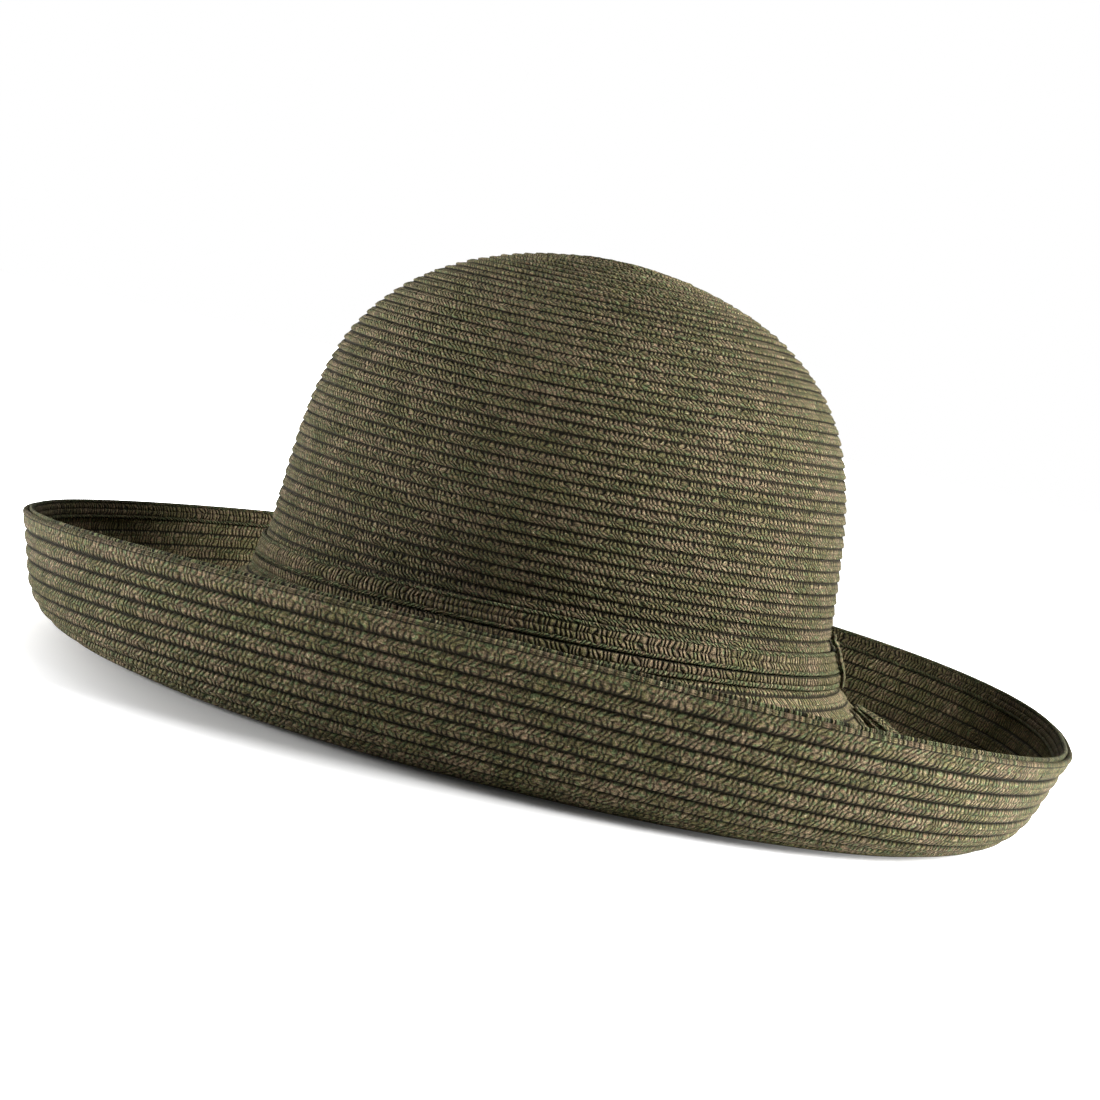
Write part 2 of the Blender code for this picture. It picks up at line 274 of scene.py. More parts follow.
# %% Wire and Look
class Wire:
    def __init__(self, look, socket):
        self.look = look
        self.socket = socket

    def math(self, operation, *others, swap=False):
        values = (others[0], self) if swap else (self, *others)
        sockets = dict(enumerate(values))
        return self.look.node("ShaderNodeMath", {"operation": operation}, sockets)

    def __add__(self, other):
        return self.math("ADD", other)

    def __sub__(self, other):
        return self.math("SUBTRACT", other)

    def __rsub__(self, other):
        return self.math("SUBTRACT", other, swap=True)

    def __mul__(self, other):
        return self.math("MULTIPLY", other)

    def __truediv__(self, other):
        return self.math("DIVIDE", other)

    def __pow__(self, other):
        return self.math("POWER", other)

    __radd__ = __add__
    __rmul__ = __mul__

    def floor(self):
        return self.math("FLOOR")

    def size(self):
        return self.math("ABSOLUTE")

    def over(self, limit):
        return self.math("GREATER_THAN", limit)

    def under(self, limit):
        return self.math("LESS_THAN", limit)

    def rise(self, low, high, start=0.0, end=1.0):
        sockets = {"Value": self, "From Min": low, "From Max": high, "To Min": start, "To Max": end}
        return self.look.node("ShaderNodeMapRange", {"interpolation_type": "SMOOTHSTEP"}, sockets)


class Look:
    """One finish: a material whose nodes are added by expressions."""

    def __init__(self, name):
        self.material = bpy.data.materials.new(name)
        self.material.use_nodes = True
        self.tree = self.material.node_tree
        self.shader = self.tree.nodes["Principled BSDF"]

    def node(self, kind, settings=None, sockets=None, output=0):
        item = self.tree.nodes.new(kind)
        for key, value in (settings or {}).items():
            setattr(item, key, value)
        for key, value in (sockets or {}).items():
            self.join(item.inputs[key], value)
        return Wire(self, item.outputs[output])

    def join(self, socket, value):
        if isinstance(value, Wire):
            self.tree.links.new(value.socket, socket)
        else:
            socket.default_value = value

    def vector(self, x, y, z=0.0):
        return self.node("ShaderNodeCombineXYZ", None, {"X": x, "Y": y, "Z": z})

    def noise(self, vector, scale=1.0, detail=2.0, roughness=0.5):
        sockets = {"Vector": vector, "Scale": scale, "Detail": detail, "Roughness": roughness}
        return self.node("ShaderNodeTexNoise", {"noise_dimensions": "3D"}, sockets)

    def chance(self, vector):
        return self.node("ShaderNodeTexWhiteNoise", {"noise_dimensions": "3D"}, {"Vector": vector})

    def mix(self, factor, first, second, blend="MIX"):
        settings = {"data_type": "RGBA", "blend_type": blend}
        return self.node("ShaderNodeMix", settings, {0: factor, 6: first, 7: second}, output=2)


print("Shader helpers ready")

# %% [markdown]
# ## The braid's finish
# The braid is knitted from melange yarn: muted green, taupe and a little rust, twisted together.
# Its two edges are slanted stitches that look greener, and its middle is upright stitches with
# painted shade in the gaps between them. A finish is given as zones across one course. Each zone has
# its own slant and depth, and each stitch its own random tone.

# %% Yarn colours and the zone table
OLIVE = (0.092, 0.083, 0.036, 1.0)
TAUPE = (0.132, 0.098, 0.060, 1.0)
RUST = (0.122, 0.066, 0.042, 1.0)
LEAF = (0.068, 0.092, 0.042, 1.0)
PALE = (0.270, 0.232, 0.145, 1.0)
# Nearly black painted shade for the grooves between courses and the gaps between stitches
PAINTED_GAP_SHADE = (0.006, 0.005, 0.003, 1.0)

# Zones across one course: low edge, high edge, slant in stitches, depth, leaf share and how dark
# the painted shade in the gaps between its stitches is
CROWN_ZONES = ((0.00, 0.52, 0.20, 0.90, 0.00, 1.0), (0.52, 1.00, 1.1, 1.00, 0.45, 0.55))
RIB_ZONES = ((0.00, 0.60, 0.12, 1.00, 0.05, 0.55), (0.60, 1.00, 0.5, 0.90, 0.45, 0.25))
INSIDE_ZONES = ((0.00, 0.45, 0.5, 0.80, 0.30, 0.5), (0.45, 1.00, 0.2, 0.90, 0.00, 0.9))
WIDE_ZONES = (
    (0.00, 0.19, 1.1, 1.00, 1.00, 0.4), (0.19, 0.50, -0.45, 1.00, -0.30, 1.0),
    (0.50, 0.81, 0.45, 1.00, -0.30, 1.0), (0.81, 1.00, -1.1, 1.00, 1.00, 0.4),
)
NARROW_ZONES = ((0.00, 0.34, 1.1, 1.00, 1.00, 0.4), (0.34, 1.00, -0.35, 1.00, -0.20, 1.0))
print("Zones of the wide band row:", len(WIDE_ZONES))

# %% [markdown]
# The finish first finds its place in the braid: the course, the share across it and the stitch.
# Each zone then gives slanted stitches with a rounded height, painted lighter along each stitch's
# middle, with painted shade in the gaps between them. Noise mixes the yarn's colours at the size of
# fibres and tufts, and the grooves between the courses are painted nearly black as shade.

# %% Build a finish from zones
def braid_finish(name, zones, groove, tone_and_painted_light=1.0, leaf=0.0, teeth=0.12, depth=0.0009):
    look = Look(name)
    uv = look.node("ShaderNodeUVMap", {"uv_map": "UVMap"})
    along = look.node("ShaderNodeSeparateXYZ", None, {0: uv})
    across = Wire(look, along.socket.node.outputs[1])
    course = across.floor()
    share = across - course
    ruffle = look.noise(look.vector(along * 0.9, across * 1.7, 7.0), 1.0, 1.0, 0.6) - 0.5
    drift = look.noise(look.vector(along * 0.5, across * 1.3, 17.0), 1.0, 0.0, 0.6) - 0.5
    fibre = look.noise(look.vector(along * 3.1, across * 9.0, 5.0), 1.0, 1.0, 0.7)
    level = share + ruffle * 0.20
    moved = along + drift * 1.8 + course * 0.37
    height, stroke, number, green, gap_shade, tooth = 0.0, 0.0, 0.0, 0.0, 0.0, None
    for index, (low, high, slant, zone_depth, zone_green, zone_gap_shade) in enumerate(zones):
        local = (level - low) / (high - low)
        inside = local.over(0.0) * local.under(1.0)
        place = moved - local * slant + index * 0.5
        stitch = place.floor()
        phase = place - stitch
        lobe = phase * (1.0 - phase) * 4.0
        tooth = tooth or lobe
        crest = 1.0 - (local * 2.0 - 1.0).size() ** 4.0
        stroke = inside * lobe + stroke
        # Painted shade in the gaps between the stitches of each zone
        gap_shade = inside * lobe.rise(0.08, 0.80, 1.0, 0.0) * zone_gap_shade + gap_shade
        height = inside * (0.25 + 0.75 * crest) * (0.20 + 0.80 * lobe) * zone_depth + height
        number = inside * (stitch + index * 1000.0) + number
        green = inside * zone_green + green
    chance = look.chance(look.vector(number, course, 1.0))
    fleck = look.noise(look.vector(moved * 2.1, across * 5.2, 3.0), 1.0, 2.0, 0.75)
    tuft = look.noise(look.vector(moved * 1.4, across * 3.4, 9.0), 1.0, 1.0, 0.65)
    speck = look.noise(look.vector(moved * 1.9, across * 4.3, 23.0), 1.0, 1.0, 0.65)
    patch = look.noise(look.vector(along * 0.13, across * 0.5, 3.0), 1.0, 1.0, 0.6)
    grain = fibre.rise(0.34, 0.66)
    yarn = look.mix((fleck * 0.6 + patch * 0.4).rise(0.45, 0.56), OLIVE, TAUPE)
    yarn = look.mix((tuft + green * 0.13 + leaf * 0.2).rise(0.54, 0.68) * 0.8, yarn, LEAF)
    yarn = look.mix(speck.rise(0.58, 0.70) * 0.6, yarn, RUST)
    yarn = look.mix((fleck * 0.5 + (1.0 - speck) * 0.5).rise(0.58, 0.68) * 0.8, yarn, PALE)
    # Painted light: each stitch is lighter along its middle and darker at its sides, as light falls on
    # a round strand; grain, chance and patch add the yarn's own random tone
    bright = (0.45 + 0.65 * stroke) * (0.52 + 0.95 * grain) * (0.72 + 0.56 * chance)
    bright = bright * (0.75 + 0.5 * patch) * tone_and_painted_light
    colour = look.mix(1.0, yarn, look.vector(bright, bright, bright), "MULTIPLY")
    # Painted shade: the grooves between courses, with a toothed edge, and the gaps between stitches
    # are mixed towards nearly black
    upper = (level - (1.0 - tooth) * teeth).rise(0.0, groove[0])
    clear_of_groove_shade = upper * share.rise(1.0 - groove[1], 1.0, 1.0, 0.0)
    colour = look.mix((1.0 - clear_of_groove_shade * (1.0 - gap_shade)) * 0.92, colour, PAINTED_GAP_SHADE)
    look.join(look.shader.inputs["Base Color"], colour)
    look.join(look.shader.inputs["Roughness"], 0.80 + grain * 0.18)
    look.shader.inputs["Specular IOR Level"].default_value = 0.08
    relief = height * upper + fibre * 0.45
    sockets = {"Strength": 1.0, "Distance": depth, "Height": relief}
    look.join(look.shader.inputs["Normal"], look.node("ShaderNodeBump", None, sockets))
    return look.material


crown_outside = braid_finish("crown_outside_braid", CROWN_ZONES, (0.22, 0.05), teeth=0.28)
crown_inside = braid_finish("crown_inside_braid", INSIDE_ZONES, (0.06, 0.06), tone_and_painted_light=0.9)
brim_outside = braid_finish("brim_outside_braid", RIB_ZONES, (0.26, 0.16), tone_and_painted_light=1.08, leaf=0.05,
                            teeth=0.24, depth=0.0013)
# The brim's upper side is painted lighter than the same braid elsewhere, as painted light where little
# light reaches it
brim_inside = braid_finish("brim_inside_braid", INSIDE_ZONES, (0.16, 0.12), tone_and_painted_light=1.3, teeth=0.18)
rim_finish = braid_finish("rim_row_braid", WIDE_ZONES, (0.02, 0.02), tone_and_painted_light=0.9, teeth=0.02)
wide_finish = braid_finish("band_wide_braid", WIDE_ZONES, (0.01, 0.01), tone_and_painted_light=1.05, leaf=0.02,
                           teeth=0.01)
narrow_finish = braid_finish("band_narrow_braid", NARROW_ZONES, (0.01, 0.10), teeth=0.01)
tie_finish = braid_finish("tie_braid", WIDE_ZONES, (0.02, 0.02), tone_and_painted_light=1.15, leaf=0.1, teeth=0.01)
print("Finishes made:", len(bpy.data.materials))

# %% [markdown]
# ## Crown
# The crown is one braid that winds round and down from the middle of its top. Each course lies
# over the one below it, so its lower edge stands proud over a step that the finish paints dark as
# shade.
# The grid winds in the same way: its seam joins each course to the start of the next one.

# %% Crown courses
STITCH = 0.0016
CROWN_COURSES = 47
CROWN_COLUMNS = 160
CROWN_MERIDIAN = 0.160
CROWN_DROOP, CROWN_WAVER = 0.00018, 0.00012
# The finish numbers the courses of the inner face from here
CROWN_INSIDE_COURSE = 100.0
# Relief over one course, from its upper edge to its proud lower edge: share and height
CROWN_RELIEF = ((0.0, -0.00062), (0.09, -0.00045), (0.26, -0.00020), (0.46, -0.00006),
                (0.66, 0.00010), (0.82, 0.00018), (0.94, 0.00006))
CROWN_LINING_RELIEF = ((0.0, 0.00025), (0.12, 0.00028), (0.55, 0.0), (0.92, -0.00028))


def relief_rows(relief, courses):
    share = [course + step for course in range(courses) for step, height in relief]
    height = [height for course in range(courses) for step, height in relief]
    return np.array(share + [float(courses)]), np.array(height + [relief[0][1]])


def crown_base(fraction, angles):
    """Points on the crown's outer face at shares of the way from the top down to the foot."""
    steps = np.linspace(0.0, 1.0, 500)
    table = crown_point(angles[None, :], 1.0 - steps[:, None] ** 2)
    pace = np.linalg.norm(np.diff(table, axis=0), axis=-1)
    way = np.vstack((np.zeros(len(angles)), np.cumsum(pace, axis=0)))
    way /= way[-1]
    found = np.empty_like(fraction)
    for column in range(len(angles)):
        found[:, column] = np.interp(fraction[:, column], way[:, column], steps)
    return crown_point(angles[None, :], 1.0 - found ** 2)


def crown_frame(fraction, angles):
    """Base points and outward normals, both the same on the two sides of the seam."""
    base = crown_base(fraction, angles)
    step, turn = 0.003, 0.01
    down = crown_base(fraction + step, angles) - crown_base(np.maximum(fraction - step, 0.0), angles)
    turned = crown_base(fraction, angles + turn) - crown_base(fraction, angles - turn)
    normal = np.cross(down, turned)
    flat = np.linalg.norm(normal, axis=-1) < 1e-10
    normal[flat] = (0.0, 0.0, 1.0)
    return base, unit(normal)


def rounds(place):
    """Length of each row of points round the hat."""
    return np.linalg.norm(np.diff(place, axis=1), axis=-1).sum(axis=1)


print("Crown foot at the back:", crown_base(np.ones((1, 1)), np.array([REAR])).round(4))

# %% [markdown]
# The outer rows wind down from the top with the proud edge of each course, turn round the edge of
# the foot and wind back up the inside, where the courses show their flatter reverse.

# %% Make the crown
def make_crown():
    angles = REAR + 2.0 * math.pi * np.arange(CROWN_COLUMNS + 1) / CROWN_COLUMNS
    turn = np.arange(CROWN_COLUMNS + 1) / CROWN_COLUMNS
    share, height = relief_rows(CROWN_RELIEF, CROWN_COURSES + 1)
    turns = share[:, None] + turn[None, :]
    fraction = np.clip((turns - 1.0) / CROWN_COURSES, 0.0, 1.0)
    ends = smooth(fraction * CROWN_MERIDIAN, 0.0, 0.004)
    ends = ends * smooth((1.0 - fraction) * CROWN_MERIDIAN, 0.0, 0.002)
    under_band = 0.2 + 0.8 * smooth((1.0 - fraction) * CROWN_MERIDIAN, 0.006, 0.010)
    base, normal = crown_frame(fraction, angles)
    lift = height[:, None] * (1.0 + 0.2 * wander(turns * 7.0, 3)) * ends * under_band
    droop = CROWN_DROOP * wander(turns * 3.0, 5) * ends
    outside = base + normal * (lift + CROWN_WAVER * wander(turns, 4) * ends)[..., None]
    outside[..., 2] += droop
    rows = [outside]
    stitches = [np.maximum(np.round(rounds(outside) / STITCH), 5.0)]
    foot_base, foot_normal = crown_frame(np.ones((1, CROWN_COLUMNS + 1)), angles)
    tangent = np.zeros_like(foot_base)
    tangent[..., 2] = -1.0
    edge = half_round(foot_base, foot_normal, tangent, WALL, 3)
    inner_share, inner_height = relief_rows(CROWN_LINING_RELIEF, CROWN_COURSES + 1)
    inner_turns = inner_share[:, None] - turn[None, :]
    inner_fraction = np.clip(1.0 - inner_turns / CROWN_COURSES, 0.0, 1.0)
    inner_ends = smooth(inner_fraction * CROWN_MERIDIAN, 0.0, 0.004)
    inner_ends = inner_ends * smooth((1.0 - inner_fraction) * CROWN_MERIDIAN, 0.006, 0.009)
    base, normal = crown_frame(inner_fraction, angles)
    inside = base - normal * (WALL + inner_height[:, None] * inner_ends)[..., None]
    place = np.concatenate([outside] + edge + [inside])
    count = len(place) - 1
    across = np.zeros((count, 2))
    first = len(outside) - 1
    across[:first, 0], across[:first, 1] = share[:-1], share[1:]
    across[first:first + 4] = (0.4, 0.5)
    second = len(outside) + 3
    across[second:, 0] = CROWN_INSIDE_COURSE + inner_share[:-1]
    across[second:, 1] = CROWN_INSIDE_COURSE + inner_share[1:]
    ring = rounds(0.5 * (place[1:] + place[:-1]))
    per_course = np.round(ring / STITCH)
    course = np.floor(across[:, 0] + 1e-6).astype(int)
    for value in np.unique(course):
        same = course == value
        per_course[same] = max(np.round(np.median(ring[same]) / STITCH), 5.0)
    side = np.zeros(count)
    side[second:] = 1
    piece = braid_grid("crown_courses", place, per_course, across, side,
                       [crown_outside, crown_inside])
    close_and_smooth(piece)
    return piece


crown = make_crown()
dress(crown, "crown")

# %% [markdown]
# ## Brim
# The brim carries on from a collar inside the crown's foot. Seen from below and outside it is a
# row of rounded ribs, one for each course. Seen from above it has flat courses with a fine ridge.
# One closed grid runs down the underside, over the rim's rounded edge and back on the upper side.

# %% Brim courses
BRIM_COURSES = 25
BRIM_COLUMNS = 256
BRIM_STITCH = 0.0019
BRIM_MERIDIAN = 0.122
BRIM_INSIDE_COURSE = 60.0
TOP_COURSE_SHARE = 0.048
RIM_MARGIN = 0.0008
RIB_RELIEF = ((0.0, -0.00120), (0.07, -0.00085), (0.18, -0.00030), (0.36, -0.00003),
              (0.58, 0.0), (0.78, -0.00024), (0.92, -0.00078))
UPPER_RELIEF = ((0.0, -0.00045), (0.10, 0.00000), (0.22, 0.00005), (0.42, -0.00018),
                (0.70, -0.00026), (0.92, -0.00036))


def brim_base(fraction, angles):
    path = brim_path(angles)
    pace = np.linalg.norm(np.diff(path, axis=0), axis=-1)
    way = np.vstack((np.zeros(len(angles)), np.cumsum(pace, axis=0)))
    base = np.empty((len(fraction), len(angles), 3))
    for column in range(len(angles)):
        distance = fraction[:, column] * (way[-1, column] - RIM_MARGIN)
        for axis in range(3):
            base[:, column, axis] = np.interp(distance, way[:, column], path[:, column, axis])
    return base


def brim_frame(fraction, angles):
    step = 0.012
    base = brim_base(fraction, angles)
    ahead = brim_base(np.minimum(fraction + step, 1.0), angles)
    behind = brim_base(np.maximum(fraction - step, 0.0), angles)
    along = unit(ahead - behind)
    ring = np.empty_like(base)
    ring[:, 1:-1] = base[:, 2:] - base[:, :-2]
    ring[:, 0] = ring[:, -1] = base[:, 1] - base[:, -2]
    return base, unit(np.cross(ring, along)), along


def periodic(turn, share, seed):
    """An irregular wave for each course that meets itself after one round."""
    random = np.random.default_rng(seed)
    course = np.floor(share + 1e-6).astype(int)
    total = np.zeros((len(share), len(turn)))
    for rate in (1, 3, 7, 12, 23, 41):
        shift = random.random(course.max() + 1)[course]
        total += np.sin(2.0 * math.pi * (turn[None, :] * rate + shift[:, None])) / (1.0 + 0.05 * rate)
    return total / 3.0


print("Brim edge at the back:", brim_base(np.ones((1, 1)), np.array([REAR])).round(4))

# %% [markdown]
# The rows run down the underside from the collar to the rim, round the rim's edge, back over the
# upper side and round the collar's edge, so that the brim closes on itself.

# %% Make the brim
def make_brim():
    angles = REAR + 2.0 * math.pi * np.arange(BRIM_COLUMNS + 1) / BRIM_COLUMNS
    turn = np.arange(BRIM_COLUMNS + 1) / BRIM_COLUMNS
    share, height = relief_rows(RIB_RELIEF, BRIM_COURSES)
    plain = BRIM_COURSES - 1.0
    fraction = np.where(
        share <= plain, share / plain * (1.0 - TOP_COURSE_SHARE),
        1.0 - TOP_COURSE_SHARE * (BRIM_COURSES - share),
    )
    fraction = np.repeat(fraction[:, None], BRIM_COLUMNS + 1, axis=1)
    ends = smooth(fraction * BRIM_MERIDIAN, 0.0, 0.003)
    ends = ends * smooth((1.0 - fraction) * BRIM_MERIDIAN, 0.0, 0.0025)
    base, normal, along = brim_frame(fraction, angles)
    sway = 1.0 + 0.18 * periodic(turn, share, 11)
    under = base + normal * (height[:, None] * ends * sway)[..., None]
    rim_edge = half_round(base[-1:], normal[-1:], along[-1:], WALL, 4)
    upper_share, upper_height = relief_rows(UPPER_RELIEF, BRIM_COURSES)
    upper_fraction = 1.0 - upper_share / BRIM_COURSES
    upper_fraction = np.repeat(upper_fraction[:, None], BRIM_COLUMNS + 1, axis=1)
    distance = (1.0 - upper_fraction) * BRIM_MERIDIAN
    upper_ends = 0.25 + 0.75 * smooth(distance, 0.0060, 0.0085)
    upper_ends = upper_ends * smooth(upper_fraction * BRIM_MERIDIAN, 0.004, 0.014)
    upper_base, upper_normal, upper_along = brim_frame(upper_fraction, angles)
    upper_sway = 1.0 + 0.18 * periodic(turn, upper_share, 12)
    lift = WALL + upper_height[:, None] * upper_ends * upper_sway
    upper = upper_base - upper_normal * lift[..., None]
    collar_edge = half_round(upper_base[-1:], upper_normal[-1:], -upper_along[-1:], WALL, 3)[::-1]
    place = np.concatenate([under] + rim_edge + [upper] + collar_edge + [under[:1]])
    count = len(place) - 1
    across = np.zeros((count, 2)) + (0.4, 0.5)
    first = len(under) - 1
    across[:first, 0], across[:first, 1] = share[:-1], share[1:]
    second = len(under) + 4
    across[first:second] = (BRIM_COURSES - 0.5, BRIM_COURSES - 0.4)
    last = second + len(upper) - 1
    across[second:last, 0] = BRIM_INSIDE_COURSE + upper_share[:-1]
    across[second:last, 1] = BRIM_INSIDE_COURSE + upper_share[1:]
    ring = rounds(0.5 * (place[1:] + place[:-1]))
    course = np.floor(across[:, 0] + 1e-6).astype(int)
    per_course = np.ones(count)
    for value in np.unique(course):
        same = course == value
        stitch = BRIM_STITCH if value < BRIM_INSIDE_COURSE else STITCH
        per_course[same] = np.round(np.median(ring[same]) / stitch)
    side = np.zeros(count)
    side[second:] = 1
    piece = braid_grid("brim_courses", place, per_course, across, side, [brim_outside, brim_inside])
    close_and_smooth(piece)
    return piece


brim = make_brim()
dress(brim, "brim")

# %% [markdown]
# ## Rows of the band and the rim
# The band is two rows of the same braid, the lower one tucked below the upper one, and the rim is
# finished with one more row on its inner side. Here each row is a closed ring: its cross-section
# is a table of places across the braid, with raised edges and a dip between the stitch rows.

# %% Rings of braid
ROW_COLUMNS = 720
# How far the upper row strays from a true line, in slow and in quick waves
SLOW_SAG, QUICK_SAG = 0.00025, 0.00015
# Outer face of a full width of braid: share of the width, share of the thickness
FULL_WIDTH = ((0.00, 0.55), (0.03, 0.85), (0.09, 1.05), (0.16, 0.95), (0.19, 0.70), (0.24, 0.88),
              (0.34, 0.98), (0.45, 0.92), (0.50, 0.76), (0.55, 0.92), (0.66, 0.98), (0.76, 0.88),
              (0.81, 0.70), (0.84, 0.95), (0.91, 1.05), (0.97, 0.85), (1.00, 0.55))
HALF_WIDTH = ((0.00, 0.55), (0.05, 0.90), (0.16, 1.08), (0.28, 0.95), (0.32, 0.72), (0.42, 0.90),
              (0.60, 1.00), (0.80, 0.95), (1.00, 0.80))


def braid_ring(name, section, seat, columns, finish):
    """section is (share across, share of thickness); seat turns both into a place on the hat."""
    angles = REAR + 2.0 * math.pi * np.arange(columns + 1) / columns
    face = [seat(angles, share, thickness) for share, thickness in section]
    back = [seat(angles, share, 0.0) for share in (0.97, 0.5, 0.03)]
    place = np.stack(face + back + face[:1])
    count = len(place) - 1
    across = np.zeros((count, 2)) + (0.02, 0.03)
    shares = np.array([share for share, thickness in section])
    across[:len(shares) - 1, 0], across[:len(shares) - 1, 1] = shares[:-1], shares[1:]
    across = np.clip(across, 0.0, 0.9999)
    stitches = np.full(count, np.round(rounds(place[:1])[0] / STITCH))
    piece = braid_grid(name, place, stitches, across, np.zeros(count), [finish])
    close_and_smooth(piece)
    return piece


def wide_seat(angles, share, thickness):
    low = BAND_SEAM_HEIGHT + 0.5 * CLEARANCE
    sag = SLOW_SAG * np.sin(3.0 * angles + 0.6) + QUICK_SAG * np.sin(11.0 * angles)
    return crown_height_point(angles, low + sag * share + BAND_WIDTH * share,
                              CLEARANCE + BAND_THICKNESS * thickness)


def narrow_seat(angles, share, thickness):
    start, end = slope_point(angles, 0.0), fold_point(angles, FOLD_SOFTNESS + FOOT_WIDTH)
    run = np.linalg.norm((end - start)[..., :2], axis=-1)
    steepness = SLOPE_CURVE * start[..., 2] / run
    out = CLEARANCE + BAND_THICKNESS * thickness + NARROW_ROW_SPREAD * (1.0 - share)
    foot = CLEARANCE * np.sqrt(1.0 + steepness ** 2)
    foot = foot - steepness * (out + WALL + 2.0 * CLEARANCE) - CLEARANCE
    top = BAND_SEAM_HEIGHT - 0.5 * CLEARANCE
    return crown_height_point(angles, foot + (top - foot) * share, out)


def wall_frame(angles):
    rim = rim_point(angles)
    down = unit(fold_point(angles) - rim)
    along = unit(rim_point(angles + 0.01) - rim_point(angles - 0.01))
    return rim, down, unit(np.cross(along, down))


def rim_seat(angles, share, thickness):
    rim, down, inward = wall_frame(angles)
    drop = -RIM_ROW_LIP + RIM_ROW_WIDTH * share
    return rim + down * drop + inward * (WALL + CLEARANCE + RIM_ROW_THICKNESS * thickness)


band_wide = braid_ring("band_upper_row", FULL_WIDTH, wide_seat, ROW_COLUMNS, wide_finish)
dress(band_wide, "band_wide_row")
band_narrow = braid_ring("band_lower_row", HALF_WIDTH, narrow_seat, ROW_COLUMNS, narrow_finish)
dress(band_narrow, "band_narrow_row")
rim_row = braid_ring("rim_row", FULL_WIDTH, rim_seat, ROW_COLUMNS, rim_finish)
dress(rim_row, "rim_braid")

# %% [markdown]
# ## Tie
# The band is closed at the back by a short strip of braid that crosses it, and the ends of the
# strip lie down the slope of the brim. A strip is a small closed tube with a flat, softly ribbed
# section that is carried along a smooth path.

# %% Strips of the tie
STRIP_SECTION = ((-1.00, 0.0), (-0.94, 0.55), (-0.80, 0.95), (-0.62, 0.80), (-0.34, 0.98),
                 (0.0, 0.82), (0.34, 0.98), (0.62, 0.80), (0.80, 0.95), (0.94, 0.55), (1.00, 0.0),
                 (0.94, -0.55), (0.55, -0.90), (0.0, -0.85), (-0.55, -0.90), (-0.94, -0.55),
                 (-1.00, 0.0))


def spread(rows, count):
    """Rows of numbers made into many by a smooth curve through them."""
    rows = np.array(rows, dtype=float)
    known = np.linspace(0.0, 1.0, len(rows))
    wanted = np.linspace(0.0, 1.0, count)
    slopes = np.gradient(rows, known, axis=0)
    index = np.clip(np.searchsorted(known, wanted) - 1, 0, len(rows) - 2)
    gap = known[1] - known[0]
    t = ((wanted - known[index]) / gap)[:, None]
    low, high = rows[index], rows[index + 1]
    return ((2 * t ** 3 - 3 * t ** 2 + 1) * low + (t ** 3 - 2 * t ** 2 + t) * gap * slopes[index]
            + (3 * t ** 2 - 2 * t ** 3) * high + (t ** 3 - t ** 2) * gap * slopes[index + 1])


def braid_strip(name, centre, across_way, thick_way, width, thickness, finish):
    """The section at each point of the path, with both ends drawn in to a closed point."""
    rows = []
    count = len(centre)
    for step in range(-1, count + 1):
        index = min(max(step, 0), count - 1)
        scale = 0.0 if step in (-1, count) else 1.0
        rows.append([
            centre[index] + across_way[index] * (0.5 * width * side * scale)
            + thick_way[index] * (0.5 * thickness * deep * scale)
            for side, deep in STRIP_SECTION
        ])
    place = np.transpose(np.array(rows), (1, 0, 2))
    length = np.linalg.norm(np.diff(centre, axis=0), axis=-1).sum()
    sides = np.array([0.5 + 0.5 * side for side, deep in STRIP_SECTION])
    across = np.clip(np.stack((sides[:-1], sides[1:]), axis=-1), 0.0, 0.9999)
    stitches = np.full(len(place) - 1, length / STITCH)
    piece = braid_grid(name, place, stitches, across, np.zeros(len(place) - 1), [finish])
    close_and_smooth(piece)
    return piece


def at_back(height, out):
    return crown_height_point(np.array(REAR), np.array(height), out)


def make_wrap():
    high = BAND_SEAM_HEIGHT + BAND_WIDTH
    on_crown, on_band = 2.0 * CLEARANCE, BAND_THICKNESS + CLEARANCE
    half = 0.5 * WRAP_THICKNESS
    path = [
        at_back(high + WRAP_RISE, on_crown + half),
        at_back(high + 2.0 * BAND_THICKNESS, on_crown + half),
        at_back(high + BAND_THICKNESS, on_band + half),
        at_back(BAND_SEAM_HEIGHT, on_band + half),
        at_back(-WRAP_DROP, on_band + NARROW_ROW_SPREAD + half),
    ]
    centre = spread(path, 28)
    way = unit(np.gradient(centre, axis=0))
    side = np.tile((1.0, 0.0, 0.0), (len(centre), 1))
    return braid_strip("tie_wrap_strip", centre, side, unit(np.cross(way, side)),
                       WRAP_WIDTH, WRAP_THICKNESS, tie_finish)


wrap = make_wrap()
dress(wrap, "tie_wrap")

# %% [markdown]
# The two free ends come out below the strip and lie down the slope. The right one springs off it,
# and both turn a little about their own length.

# %% Free ends of the tie
# Share of the length, sideways share of the spread, share of the lift, turn in degrees
TAIL_LEFT = ((0.00, 0.34, 0.00, 0), (0.20, 0.36, 0.10, 20), (0.45, 0.40, 0.20, 35),
             (0.70, 0.46, 0.10, 20), (1.00, 0.52, 0.00, 0))
TAIL_RIGHT = ((0.00, -0.34, 0.00, 0), (0.20, -0.36, 0.70, -20), (0.45, -0.42, 1.00, -25),
              (0.70, -0.50, 0.60, -10), (1.00, -0.60, 0.00, 0))


